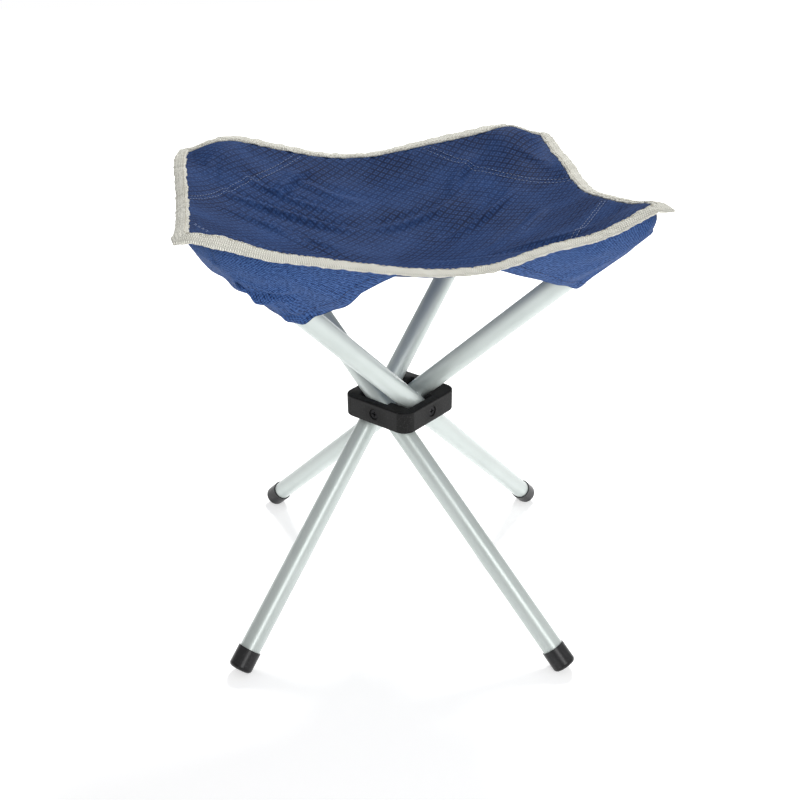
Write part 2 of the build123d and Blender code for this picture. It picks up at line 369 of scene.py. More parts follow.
def hang_seat():
    """The seat's cloth at rest."""
    grid = seat_grid()
    grid[..., 2] += PIVOT_Z
    lift_over_tips(grid, PIVOT_Z + TIP_CLEAR)
    grid = drape(grid)
    grid[..., 2] += fold_height(grid[..., 0], grid[..., 1], FOLDS)
    lift_over_tips(grid, PIVOT_Z + TIP_CLEAR - TIP_SETTLE)
    return smooth(grid)


SHEET = Sheet(hang_seat())


# ---- meshes
def add_mesh(name, points, faces, material, normals=None, uv=None):
    """Smooth mesh object. Its points, and uv, one pair for each, are in millimetres."""
    mesh = bpy.data.meshes.new(name)
    mesh.from_pydata((np.asarray(points) * MM).tolist(), [], [list(map(int, f)) for f in faces])
    mesh.polygons.foreach_set("use_smooth", [True] * len(mesh.polygons))
    if uv is not None:
        layer = mesh.uv_layers.new(name="cloth")
        corners = np.zeros(len(mesh.loops), int)
        mesh.loops.foreach_get("vertex_index", corners)
        layer.data.foreach_set("uv", np.asarray(uv)[corners].reshape(-1) * MM)
    mesh.update()
    if normals is not None:
        mesh.normals_split_custom_set_from_vertices(np.asarray(normals).tolist())
    mesh.materials.append(material)
    return link(name, mesh)


# Each eighth of the seat, by bearing: its corner's leg, and which side of it
EIGHTHS = ["4b", "4a", "1b", "1a", "2b", "2a", "3b", "3a"]


def eighth_of(a, b):
    """Which eighth a point at (a, b) on the seat lies in, as its seat body's ending."""
    bearing = np.degrees(np.arctan2(b, a)) % 360
    return EIGHTHS[int(bearing // 45) % 8]


# ---- materials
def new_material(name):
    """New material, and the maker of its nodes."""
    material = bpy.data.materials.new(name)
    material.use_nodes = True
    return material, Maker(material.node_tree)


class Maker:
    """Short calls for adding and joining shader nodes."""

    def __init__(self, tree):
        self.tree = tree

    def give(self, socket, value):
        """Puts a number or a colour in a socket, or joins another node's output to it."""
        if isinstance(value, tuple):
            socket.default_value = (*value, 1.0)
        elif isinstance(value, (int, float)):
            socket.default_value = value
        else:
            self.tree.links.new(value, socket)

    def node(self, kind, **values):
        """New node, with its settings and inputs given by name."""
        made = self.tree.nodes.new(kind)
        for key, value in values.items():
            if hasattr(made, key):
                setattr(made, key, value)
            else:
                self.give(made.inputs[key.replace("_", " ")], value)
        return made

    def surface(self, **values):
        """Gives the surface's inputs by name."""
        for key, value in values.items():
            self.give(self.tree.nodes["Principled BSDF"].inputs[key.replace("_", " ")], value)

    def math(self, kind, *values, clamp=False):
        """Sum on one or two numbers or other nodes' outputs."""
        made = self.node("ShaderNodeMath", operation=kind, use_clamp=clamp)
        for socket, value in zip(made.inputs, values):
            self.give(socket, value)
        return made.outputs[0]

    def mix(self, amount, first, second):
        """From the first colour at 0 to the second at 1."""
        made = self.node("ShaderNodeMix", data_type="RGBA")
        for number, value in ((0, amount), (6, first), (7, second)):
            self.give(made.inputs[number], value)
        return made.outputs[2]

    def place(self):
        """Where a point lies on its own object, in metres."""
        return self.node("ShaderNodeTexCoord").outputs["Object"]

    def noise(self, place, scale, detail=3.0, rough=0.55):
        """Soft noise around 0.5, with this many blotches to the metre."""
        made = self.node("ShaderNodeTexNoise", Vector=place, Scale=scale, Detail=detail, Roughness=rough)
        return made.outputs["Fac"]

    def ramp(self, value, low, high, first=0.0, last=1.0):
        """From the first at low to the last at high, and level beyond both."""
        made = self.node("ShaderNodeMapRange", clamp=True, Value=value, From_Min=low, From_Max=high)
        self.give(made.inputs["To Min"], first)
        self.give(made.inputs["To Max"], last)
        return made.outputs[0]

    def bump(self, height, distance, strength, after=None):
        """Normal of a surface raised by a height of up to a distance, on top of another bump."""
        made = self.node("ShaderNodeBump", Height=height, Distance=distance, Strength=strength)
        if after is not None:
            self.give(made.inputs["Normal"], after)
        return made.outputs[0]

    def cloth_axes(self, turn=0.0):
        """The cloth's own place, x and y, in metres, turned by an angle in degrees."""
        uv = self.node("ShaderNodeUVMap", uv_map="cloth").outputs[0]
        turned = self.node("ShaderNodeMapping", Vector=uv)
        turned.inputs["Rotation"].default_value = (0.0, 0.0, radians(-turn))
        split = self.node("ShaderNodeSeparateXYZ", Vector=turned.outputs[0])
        return turned.outputs[0], split.outputs[0], split.outputs[1]

    def wavy_axes(self, turn, scale, size):
        """The cloth's own axes as its yarns run, which wander a little to either side."""
        uv, x, y = self.cloth_axes(turn)
        bend = self.math("MULTIPLY", self.math("SUBTRACT", self.noise(uv, scale), 0.5), size)
        return uv, self.math("ADD", x, bend), self.math("ADD", y, bend)

    def wave(self, axis, pitch):
        """A smooth wave from 0 to 1 along an axis."""
        turn = self.math("MULTIPLY", axis, 2 * pi / pitch)
        return self.math("ADD", self.math("MULTIPLY", self.math("SINE", turn), 0.5), 0.5)

    def line(self, axis, pitch, width):
        """1 on a line repeated every pitch, 0 between, with soft sides."""
        place = self.math("FRACT", self.math("DIVIDE", axis, pitch))
        off = self.math("ABSOLUTE", self.math("SUBTRACT", place, 0.5))
        return self.ramp(off, 0.5 - 1.6 * width / pitch, 0.5 - 0.3 * width / pitch)

    def fibres(self, uv):
        """1 on the paler fibre ends that stand out of a woven cloth, 0 between."""
        return self.ramp(self.noise(uv, 620.0, 3.0, 0.75), 0.40, 0.64)


SEAT_BIAS = 49.0  # degrees that the seat's weave is turned on the seat
SEAT_GRID = 5.1 * MM  # between the grid's heavy lines, with a light line halfway
HEAVY_LINE = 0.95 * MM
LIGHT_LINE = 0.5 * MM
SEAT_YARN = 0.85 * MM
NAVY, NAVY_FADED, NAVY_GRID = (0.005, 0.027, 0.106), (0.008, 0.037, 0.138), (0.002, 0.006, 0.030)
NAVY_FIBRE, NAVY_YARN = (0.046, 0.100, 0.270), (0.060, 0.125, 0.32)


def seat_fabric():
    """Coated woven polyester with a square reinforcing grid, every second line of it heavier."""
    material, m = new_material("seat_fabric")
    uv, x, y = m.wavy_axes(SEAT_BIAS, 40.0, 1.2 * MM)
    heavy = m.math("MAXIMUM", m.line(x, SEAT_GRID, HEAVY_LINE), m.line(y, SEAT_GRID, HEAVY_LINE))
    half_x, half_y = m.math("ADD", x, SEAT_GRID / 2), m.math("ADD", y, SEAT_GRID / 2)
    light = m.math("MAXIMUM", m.line(half_x, SEAT_GRID, LIGHT_LINE), m.line(half_y, SEAT_GRID, LIGHT_LINE))
    fade = m.ramp(m.noise(uv, 22.0, 3.0), 0.36, 0.60, 0.55, 1.0)
    lines = m.math("MULTIPLY", m.math("MAXIMUM", heavy, m.math("MULTIPLY", light, 0.75)), fade)
    weave = m.math("MULTIPLY", m.wave(x, SEAT_YARN), m.wave(y, SEAT_YARN))
    blotch = m.ramp(m.noise(uv, 14.0, 4.0), 0.3, 0.72)
    base = m.mix(blotch, NAVY, NAVY_FADED)
    base = m.mix(m.math("MULTIPLY", m.fibres(uv), 0.90), base, NAVY_FIBRE)
    base = m.mix(m.math("MULTIPLY", weave, 0.32), base, NAVY_YARN)
    base = m.mix(m.math("MULTIPLY", lines, 0.9), base, NAVY_GRID)
    fine = m.bump(weave, 0.16 * MM, 0.6)
    rib = m.bump(lines, 0.34 * MM, 0.6, fine)
    soft = m.bump(m.noise(uv, 55.0, 4.0), 1.6 * MM, 0.4, rib)
    rough = m.ramp(blotch, 0, 1, 0.62, 0.74)
    m.surface(Base_Color=base, Roughness=rough, Specular_IOR_Level=0.04, Normal=soft)
    return material


POCKET_TURN = 38.0
POCKET_YARN = 1.9 * MM
BLUE_GAP, BLUE_GAP_FADED = (0.001, 0.005, 0.030), (0.002, 0.009, 0.045)
BLUE_YARN, BLUE_FIBRE, BLUE_SHEEN = (0.031, 0.086, 0.262), (0.085, 0.175, 0.44), (0.45, 0.6, 1.0)


def pocket_fabric():
    """Plain woven polyester of thicker yarn, brighter than the seat's top."""
    material, m = new_material("pocket_fabric")
    uv, x, y = m.wavy_axes(POCKET_TURN, 60.0, 1.4 * MM)
    warp, weft = m.wave(x, POCKET_YARN), m.wave(y, POCKET_YARN)
    over = m.math("MULTIPLY", warp, m.math("SUBTRACT", 1.0, weft))
    under = m.math("MULTIPLY", weft, m.math("SUBTRACT", 1.0, warp))
    weave = m.ramp(m.math("MAXIMUM", over, under), 0.25, 0.75)
    base = m.mix(m.ramp(m.noise(uv, 18.0, 4.0), 0.3, 0.7), BLUE_GAP, BLUE_GAP_FADED)
    base = m.mix(m.math("MULTIPLY", weave, 0.88), base, BLUE_YARN)
    base = m.mix(m.math("MULTIPLY", m.fibres(uv), 0.55), base, BLUE_FIBRE)
    fine = m.bump(weave, 0.3 * MM, 0.8)
    soft = m.bump(m.noise(uv, 70.0, 4.0), 1.8 * MM, 0.4, fine)
    m.surface(Base_Color=base, Roughness=0.72, Specular_IOR_Level=0.1, Normal=soft)
    m.surface(Sheen_Weight=0.08, Sheen_Tint=BLUE_SHEEN)
    return material


TAPE_ROW = 2.4 * MM
TAPE_CORD = 1.25 * MM
TAPE_SLANT = 2.2 * MM
CREAM_WORN, CREAM, CREAM_GAP = (0.80, 0.79, 0.71), (0.93, 0.925, 0.85), (0.28, 0.27, 0.22)


def binding_tape():
    """Cream knitted tape: rows of slanted cords like arrow feathers, darker between."""
    material, m = new_material("binding_tape")
    uv, x, y = m.cloth_axes()
    place = m.math("FRACT", m.math("DIVIDE", y, TAPE_ROW))
    slope = m.math("ABSOLUTE", m.math("SUBTRACT", place, 0.5))
    cords = m.wave(m.math("ADD", x, m.math("MULTIPLY", slope, TAPE_SLANT)), TAPE_CORD)
    rows = m.ramp(slope, 0.02, 0.2)
    knit = m.math("MULTIPLY", cords, m.math("ADD", m.math("MULTIPLY", rows, 0.6), 0.4))
    base = m.mix(m.ramp(m.noise(uv, 60.0, 4.0), 0.35, 0.7), CREAM_WORN, CREAM)
    base = m.mix(m.ramp(knit, 0.05, 0.7, 0.78, 0.0), base, CREAM_GAP)
    fine = m.bump(knit, 0.45 * MM, 0.9)
    soft = m.bump(m.noise(uv, 160.0, 3.0), 0.9 * MM, 0.5, fine)
    m.surface(Base_Color=base, Roughness=0.88, Specular_IOR_Level=0.2, Sheen_Weight=0.1, Normal=soft)
    return material


def thread(name, colour):
    """Twisted sewing thread."""
    material, m = new_material(name)
    twist = m.noise(m.place(), 2500.0, 2.0)
    base = m.mix(twist, tuple(0.6 * c for c in colour), colour)
    m.surface(Base_Color=base, Roughness=0.55, Normal=m.bump(twist, 0.1 * MM, 0.6))
    return material


SILVER_RUBBED, SILVER, SILVER_FLAKE = (0.50, 0.55, 0.53), (0.57, 0.62, 0.60), (0.68, 0.71, 0.70)


def tube_paint():
    """Silver grey powder coat with a fine orange peel and rubbed patches."""
    material, m = new_material("tube_paint")
    place = m.place()
    cloud = m.noise(place, 18.0, 4.0)
    flake = m.ramp(m.noise(place, 1800.0, 2.0), 0.62, 0.78)
    base = m.mix(m.ramp(cloud, 0.3, 0.7), SILVER_RUBBED, SILVER)
    base = m.mix(m.math("MULTIPLY", flake, 0.25), base, SILVER_FLAKE)
    peel = m.bump(m.noise(place, 420.0, 2.0), 0.09 * MM, 0.35)
    m.surface(Base_Color=base, Metallic=0.35, Roughness=m.ramp(cloud, 0.3, 0.7, 0.36, 0.46), Normal=peel)
    m.surface(Coat_Weight=0.25, Coat_Roughness=0.22)
    return material


def moulded_plastic(name, colour, rough, grain, depth, shine):
    """Black moulded plastic: spark-eroded grain, dusty scuffs and rubbed edges."""
    material, m = new_material(name)
    place = m.place()
    scuff = m.ramp(m.noise(place, 120.0, 6.0, 0.7), 0.56, 0.78)
    edge = m.ramp(m.node("ShaderNodeNewGeometry").outputs["Pointiness"], 0.505, 0.56)
    worn = m.math("ADD", m.math("MULTIPLY", scuff, 0.12), m.math("MULTIPLY", edge, 0.35), clamp=True)
    light = tuple(min(1.0, 5.0 * c + 0.02) for c in colour)
    speck = m.ramp(m.noise(place, grain, 3.0, 0.7), 0.52, 0.70)
    base = m.mix(worn, m.mix(m.math("MULTIPLY", speck, 0.5), colour, light), light)
    grainy = m.bump(m.noise(place, grain, 3.0, 0.6), depth, 0.7)
    m.surface(Base_Color=base, Roughness=m.ramp(scuff, 0, 1, rough, rough + 0.18), Normal=grainy)
    m.surface(Specular_IOR_Level=shine)
    return material


def plated_steel(name, colour, rough):
    """Zinc-plated hardware with fine turning marks."""
    material, m = new_material(name)
    place = m.place()
    cloud = m.noise(place, 300.0, 4.0)
    base = m.mix(m.ramp(cloud, 0.35, 0.7), tuple(0.55 * c for c in colour), colour)
    marks = m.bump(m.noise(place, 2400.0, 2.0), 0.03 * MM, 0.5)
    m.surface(Base_Color=base, Roughness=m.ramp(cloud, 0.3, 0.7, rough, rough + 0.15), Normal=marks)
    m.surface(Metallic=1.0)
    return material


SEAT_FABRIC = seat_fabric()
POCKET_FABRIC = pocket_fabric()
BINDING_TAPE = binding_tape()
PALE_THREAD = thread("pale_thread", (0.19, 0.25, 0.42))
CREAM_THREAD = thread("cream_thread", (0.62, 0.58, 0.48))
DARK_THREAD = thread("dark_thread", (0.012, 0.03, 0.11))

HUB_BLACK, FOOT_BLACK, TOP_BLACK = (0.0055, 0.0055, 0.0055), (0.006, 0.006, 0.0065), (0.012, 0.012, 0.013)

# The material of every node whose name starts so
CAD_MATERIALS = {
    "hub": moulded_plastic("hub_plastic", HUB_BLACK, 0.68, 900.0, 0.3 * MM, 0.2),
    "foot_cap": moulded_plastic("foot_cap_plastic", FOOT_BLACK, 0.3, 500.0, 0.05 * MM, 0.25),
    "top_cap": moulded_plastic("top_cap_plastic", TOP_BLACK, 0.34, 500.0, 0.04 * MM, 0.36),
    "leg_tube": tube_paint(),
    "pivot_bolt": plated_steel("bolt_black_zinc", (0.028, 0.028, 0.03), 0.4),
    "lock_nut": plated_steel("nut_zinc", (0.60, 0.60, 0.62), 0.3),
}
for node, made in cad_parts.items():
    for start, material in CAD_MATERIALS.items():
        if node.startswith(start):
            made.data.materials.clear()
            made.data.materials.append(material)


# ---- seat top
CORNER_AB = {1: (-1, 1), 2: (-1, -1), 3: (1, -1), 4: (1, 1)}  # each leg's corner of the seat


def follow_seat(piece, ending):
    """Works out the level way in from a piece's corner of the seat, and bakes the piece's transform into
    its mesh.
    """
    number = int(ending[0])
    corner = SHEET.point(*CORNER_AB[number])
    inward = SHEET.point(0.0, 0.0) - corner
    inward[2] = 0.0
    inward /= np.linalg.norm(inward)
    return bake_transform(piece)


def build_seat():
    """Eight pieces of one sheet, cut where it creases: on the diagonals and the middle lines."""
    index = sheet_cells()[0]
    t = np.linspace(-1, 1, CELLS + 1)
    a, b = np.meshgrid(t, t, indexing="ij")
    points = SHEET.points.reshape(-1, 3)
    normals = SHEET.normals.reshape(-1, 3)
    uv = np.stack([a * HALF_SIDE, b * HALF_SIDE], -1).reshape(-1, 2)
    faces = {name: [] for name in EIGHTHS}
    for i in range(CELLS):
        for j in range(CELLS):
            p, q, r, s = index[i, j], index[i + 1, j], index[i + 1, j + 1], index[i, j + 1]
            if i == j:
                parts = [(p, q, r), (p, r, s)]
            elif i + j == CELLS - 1:
                parts = [(p, q, s), (q, r, s)]
            else:
                parts = [(p, q, r, s)]
            for part in parts:
                middle = np.mean([(t[k // (CELLS + 1)], t[k % (CELLS + 1)]) for k in part], axis=0)
                faces[eighth_of(*middle)].append(part)
    for name in EIGHTHS:
        # only the points this eighth uses, renumbered
        used = np.unique(np.concatenate(faces[name]))
        new = np.full(len(points), -1)
        new[used] = np.arange(len(used))
        own = [new[list(face)] for face in faces[name]]
        top = add_mesh(f"seat_top_{name}", points[used], own, SEAT_FABRIC, normals[used], uv[used])
        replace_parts(follow_seat(top, name), f"seat_panel_{name}")


# ---- edge tape
TAPE_STEPS = 150  # along each half side
# The folded tape's outline: distance in from the cloth's edge, and height over the cloth
TAPE_PROFILE = [
    (10.0, 0.15), (9.9, 0.75), (9.2, 1.15), (7.0, 1.3),
    (4.0, 1.35), (1.2, 1.25), (-0.3, 0.95), (-1.0, 0.3),
    (-1.0, -0.4), (-0.3, -1.05), (1.2, -1.35), (4.0, -1.45),
    (7.0, -1.4), (9.2, -1.2), (9.9, -0.8), (10.0, -0.2),
]


def wander(seed, along, scale, size):
    """Smooth wandering along a length in millimetres: a sum of waves with random phases."""
    picked = np.random.default_rng(seed)
    total = np.zeros_like(along, dtype=float)
    for octave in range(5):
        wavelength = scale / 1.7**octave * picked.uniform(0.8, 1.2)
        total += size / 1.5**octave * np.sin(2 * pi * along / wavelength + picked.uniform(0, 2 * pi))
    return total


def side_point(name, t):
    """(a, b) on the seat's side, t from 0 to 1 counter-clockwise."""
    s = 2 * t - 1
    return {
        "front": (s, -np.ones_like(s)),
        "right": (np.ones_like(s), s),
        "back": (-s, np.ones_like(s)),
        "left": (-np.ones_like(s), -s),
    }[name]


# Each side's two halves, counter-clockwise, by their seat bodies' endings
HALVES = {"front": ("2a", "3b"), "right": ("3a", "4b"), "back": ("4a", "1b"), "left": ("1a", "2b")}


def tape_line(name, t, along, k):
    """One line of the tape's outline along a side: its edges wander, and it puffs up and down."""
    inset, height = TAPE_PROFILE[k]
    face = 1 if height > 0 else -1
    a, b = side_point(name, t)
    loose = np.clip(np.minimum(t, 1 - t) * 60, 0, 1)  # the tape lies still at the corners
    depth = inset + wander(40 + face, along, 26.0, 0.42) * (inset > 5)
    depth = depth + wander(50, along, 26.0, 0.22) * (inset < 1)
    puff = height + wander(60 + face, along, 15.0, 0.22) * face * loose
    puff = puff + wander(70 + k, along, 6.0, 0.05) * loose
    shrink = 1 - depth / HALF_SIDE
    return SHEET.point(a * shrink, b * shrink, puff)


def build_tape():
    """The folded tape, in two halves along each side."""
    span, count = TAPE_STEPS + 1, len(TAPE_PROFILE)
    faces = []
    for k in range(count):
        here, after = k * span, (k + 1) % count * span
        faces += [(here + i, after + i, after + i + 1, here + i + 1) for i in range(TAPE_STEPS)]
    across = [inset if height > 0 else -inset for inset, height in TAPE_PROFILE]
    for number, (name, endings) in enumerate(HALVES.items()):
        for half, ending in enumerate(endings):
            t = np.linspace(half / 2, half / 2 + 0.5, span)
            along = (number + t) * 2 * HALF_SIDE
            points = np.concatenate([tape_line(name, t, along, k) for k in range(count)])
            uv = np.stack([np.tile(along, count), np.repeat(across, span)], -1)
            tape = add_mesh(f"edge_tape_{ending}", points, faces, BINDING_TAPE, None, uv)
            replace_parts(follow_seat(tape, ending), f"edge_binding_{ending}")


# ---- stitches
STITCH = {"pitch": 3.4, "length": 2.5, "radius": 0.26}
HEM_STITCH = {"pitch": 3.2, "length": 2.4, "radius": 0.24}
FIRST_STITCH = 0.4  # from the end of a row to its first stitch
STITCH_SINK = 0.12  # how deep a stitch's two ends lie in the cloth


def stitch_run(path, normals, pitch, length, radius):
    """Points and faces of stitches along a path: each a small arched capsule."""
    step = np.linalg.norm(np.diff(path, axis=0), axis=1)
    far = np.concatenate([[0], np.cumsum(step)])
    points, faces = [], []
    sides, rings = 6, 5
    for start in np.arange(FIRST_STITCH, far[-1] - length, pitch):
        s = start + np.linspace(0, 1, rings) * length
        middle = np.stack([np.interp(s, far, path[:, k]) for k in range(3)], -1)
        up = np.stack([np.interp(s, far, normals[:, k]) for k in range(3)], -1)
        up /= np.linalg.norm(up, axis=1, keepdims=True)
        forward = np.gradient(middle, axis=0)
        forward /= np.linalg.norm(forward, axis=1, keepdims=True)
        side = np.cross(forward, up)
        arch = np.sin(np.linspace(0, pi, rings))
        first = len(points)
        for r in range(rings):
            size = radius * (0.45 + 0.55 * arch[r])
            centre = middle[r] + up[r] * (radius * 0.9 * arch[r] - STITCH_SINK)
            for k in range(sides):
                angle = 2 * pi * k / sides
                points.append(centre + size * (cos(angle) * side[r] + sin(angle) * up[r]))
        for r in range(rings - 1):
            for k in range(sides):
                here, after = first + r * sides, first + (r + 1) * sides
                faces.append((here + k, here + (k + 1) % sides, after + (k + 1) % sides, after + k))
        faces.append(tuple(first + k for k in range(sides))[::-1])
        faces.append(tuple(first + (rings - 1) * sides + k for k in range(sides)))
    return points, faces


def add_stitches(name, runs, ending, material):
    """Rows of stitches as one piece, each given by its path and the cloth's normals."""
    points, faces = [], []
    for path, normals in runs:
        p, f = stitch_run(path, normals, **STITCH)
        faces += [tuple(len(points) + k for k in face) for face in f]
        points += p
    made = add_mesh(name, np.array(points), faces, material)
    return follow_seat(made, ending)


def seam_path(a, b, lift):
    """A row's path and the cloth's normals, over points of the seat."""
    return SHEET.point(a, b, lift), SHEET.normal(a, b)


TAPE_ROW_INSET = 1.9  # from the tape's inner edge to its row of stitches
TAPE_ROW_TOP, TAPE_ROW_UNDER = 1.42, -1.55
# From each corner to where its seam meets the sides after and before it
SEAM_ENDS = {1: (134.0, 104.0), 2: (120.0, 116.0), 3: (110.0, 94.0), 4: (116.0, 126.0)}
SEAM_ROWS = (0.0, 5.5)  # how far each row lies in from there
SEAM_LIFT = 0.06


def corner_point(number, after, before):
    """(a, b) at distances in millimetres from a corner along the sides after and before it."""
    corner_a, corner_b = CORNER_AB[number]
    along_x, along_y = (after, before) if number in (2, 4) else (before, after)
    return corner_a * (1 - along_x / HALF_SIDE), corner_b * (1 - along_y / HALF_SIDE)


def build_tape_stitches():
    """A row along the tape, on its top and underneath."""
    for name, endings in HALVES.items():
        for half, ending in enumerate(endings):
            t = np.linspace(half / 2, half / 2 + 0.5, 160)
            a, b = side_point(name, t)
            shrink = 1 - (BAND_WIDTH - TAPE_ROW_INSET) / HALF_SIDE
            top = seam_path(a * shrink, b * shrink, TAPE_ROW_TOP)
            under, up = seam_path(a * shrink, b * shrink, TAPE_ROW_UNDER)
            rows = [top, (under, -up)]
            add_stitches(f"tape_stitches_{ending}", rows, ending, CREAM_THREAD)


def build_seam_stitches():
    """Two rows across each corner, between the pocket's ends, from the diagonal out to the tape."""
    for number, ends in SEAM_ENDS.items():
        for letter in "ab":
            runs = []
            for row in SEAM_ROWS:
                after, before = ends[0] - row, ends[1] - row
                middle = after * before / (after + before)
                end = np.array([after, 0.0]) if letter == "a" else np.array([0.0, before])
                stop = 1 - (BAND_WIDTH + 1.0) / middle
                w = np.linspace(0, stop, 60)[:, None]
                line = np.array([middle, middle]) * (1 - w) + end * w
                runs.append(seam_path(*corner_point(number, line[:, 0], line[:, 1]), SEAM_LIFT))
            ending = f"{number}{letter}"
            add_stitches(f"seam_stitches_{ending}", runs, ending, PALE_THREAD)


# ---- corner pockets
# A pocket runs from its nose, at the seat's corner, to its mouth, with its keel under the tube.
# POCKET_ENDS is how far from the corner its mouth meets the sides after and before it.
POCKET_ENDS = {1: (134.0, 104.0), 2: (126.0, 116.0), 3: (110.0, 108.0), 4: (116.0, 126.0)}
MOUTH_REACH = {1: 168.0, 2: 172.0, 3: 183.0, 4: 170.0}  # up each tube, from its pivot to the mouth's keel
MOUTH_LIP = {1: 4.0, 2: 7.0, 3: 1.0, 4: 4.0}  # how far the mouth hangs down beyond its keel and its ends
NOSE_REACH = 257.0  # up each tube, from its pivot to the nose
NOSE_INSET = {1: 11.0, 2: 18.0, 3: 11.0, 4: 11.0}  # from the seat's corner to the nose
NOSE_SHARE = 0.15  # the seam comes in round the nose over this share of the pocket's length
SIDE_INSET = 6.0  # from the seat's side to the pocket's seam
SEAM_DEPTH = 1.7  # of that seam, below the seat
SLEEVE = 9.3  # from the tube's axis to the cloth where it is drawn tight round the tube
KEEL_SLACK = 0.8  # how far it hangs off the sleeve halfway
NOSE_TUCK, TUCK_SHARE = 5.0, 0.14  # how far the keel comes in at the nose, over what share of its length
BULGE = 4.2  # of each half pocket, between its keel and its seam
RIPPLES = 7
RIPPLE_SIZE = 0.012  # a ripple's height, as a share of its length
RIPPLE_EDGE = 6.0  # from the keel, over which the ripples come up to their full height
SKIN = 0.3  # least room between the sleeve and the cloth
POCKET_ROWS, POCKET_ACROSS = 64, 40
# Folds of each half pocket, in millimetres from the nose along the keel and from the keel up
POCKET_FOLDS = {
    "2a": [
        ((26, -6), (60, 26), -4.6, 3.4),
        ((34, -10), (58, 10), 5.0, 5.5),
        ((50, 22), (96, 10), 2.6, 4.5),
        ((14, 30), (80, 46), 1.6, 5.0),
        ((78, -4), (92, 36), 1.8, 6.0),
        ((60, -6), (84, 20), -2.2, 4.0),
    ],
    "3b": [((20, 6), (70, 34), 1.2, 6.0), ((50, -4), (90, 14), 1.3, 6.0)],
    "2b": [((30, -4), (60, 30), 2.6, 5.0), ((60, 30), (100, 10), 1.6, 6.0)],
    "3a": [((24, 0), (60, 40), 2.0, 6.0), ((60, 6), (96, 30), 1.5, 6.0)],
    "1a": [((26, 0), (70, 36), 2.2, 5.0), ((70, 10), (104, 30), 1.4, 6.0)],
    "1b": [((20, 10), (80, 30), 1.8, 6.0), ((50, -2), (80, 20), 1.6, 5.0)],
    "4a": [((30, -2), (66, 30), 2.2, 5.0), ((64, 30), (100, 12), 1.4, 6.0)],
    "4b": [((20, 6), (76, 40), 1.6, 6.0), ((56, -4), (90, 20), 1.6, 6.0)],
}


def pocket_edges(number, letter, v):
    """A half pocket's seam on the seat, its keel, and how far up the tube that is, at each v."""
    leg = LEGS[number]
    mouth = POCKET_ENDS[number]["ab".index(letter)]
    nose = NOSE_INSET[number]
    along = nose + (mouth - nose) * v
    inset = SIDE_INSET + (nose - SIDE_INSET) * np.clip(1 - v / NOSE_SHARE, 0, 1) ** 2
    after, before = (along, inset) if letter == "a" else (inset, along)
    seam = SHEET.point(*corner_point(number, after, before), np.full(len(v), -SEAM_DEPTH))
    reach = NOSE_REACH + (MOUTH_REACH[number] - NOSE_REACH) * v
    tuck = NOSE_TUCK * np.clip(TUCK_SHARE - v, 0, 1) / TUCK_SHARE
    below = SLEEVE + KEEL_SLACK * np.sin(pi * v) - tuck
    keel = np.array([leg.at(r, d) for r, d in zip(reach, below)])
    return seam, keel, reach


def keep_off_tube(surface, leg):
    """Moves points that are too near to the tube out to its skin."""
    off = surface - leg.pivot
    up_tube = off @ leg.along
    radial = off - up_tube[..., None] * leg.along
    gap = np.linalg.norm(radial, axis=-1)
    skin = SLEEVE + SKIN - 0.9 * np.clip((200.0 - up_tube) / 20.0, 0, 1)  # closer below the top cap
    push = np.where(up_tube < TIP_REACH + 2.0, np.maximum(skin / np.maximum(gap, 1e-6), 1.0), 1.0)
    return leg.pivot + up_tube[..., None] * leg.along + radial * push[..., None]


def pocket_ripples(number, letter, length, width):
    """Height of faint waves over a half pocket, in random directions."""
    picked = np.random.default_rng(100 + 2 * number + (letter == "b"))
    total = np.zeros_like(width)
    for _ in range(RIPPLES):
        size = picked.uniform(16.0, 60.0)
        turn = picked.uniform(0, pi)
        phase = 2 * pi * (length * cos(turn) + width * sin(turn)) / size + picked.uniform(0, 2 * pi)
        total += RIPPLE_SIZE * size * np.sin(phase)
    return total


def pocket_surface(number, letter):
    """One half pocket's points, from its nose to its mouth and across from its keel to its seam."""
    leg = LEGS[number]
    v = np.linspace(0, 1, POCKET_ROWS)
    w = np.linspace(0, 1, POCKET_ACROSS)
    seam, keel, reach = pocket_edges(number, letter, v)
    surface = keel[:, None] + (seam - keel)[:, None] * w[None, :, None]
    hang = MOUTH_LIP[number] * v[:, None] ** 2 * np.sin(pi * np.clip(1.5 * w, 0, 1))[None, :]
    surface = surface - leg.along * hang[..., None]
    outward = np.cross(np.gradient(surface, axis=0), np.gradient(surface, axis=1))
    outward /= np.linalg.norm(outward, axis=-1, keepdims=True) + 1e-9
    if np.mean(outward[..., 2]) > 0:
        outward = -outward
    width = np.linalg.norm(seam - keel, axis=1)[:, None] * w[None, :]
    length = np.broadcast_to((NOSE_REACH - reach)[:, None], width.shape)
    loose = np.clip(1.25 - w, 0, 1)[None, :] * np.clip(v * 6, 0, 1)[:, None]
    bulge = BULGE * np.sin(pi * w**0.9)[None, :] * (0.25 + 0.75 * np.sin(pi * v**0.8))[:, None]
    ripple = pocket_ripples(number, letter, length, width)
    folds = fold_height(length, width, POCKET_FOLDS[f"{number}{letter}"])
    edge = np.clip(width / RIPPLE_EDGE, 0.35, 1)
    lift = bulge + ripple * edge * loose * np.sin(pi * w) + folds * loose
    return keep_off_tube(surface + outward * lift[..., None], leg)


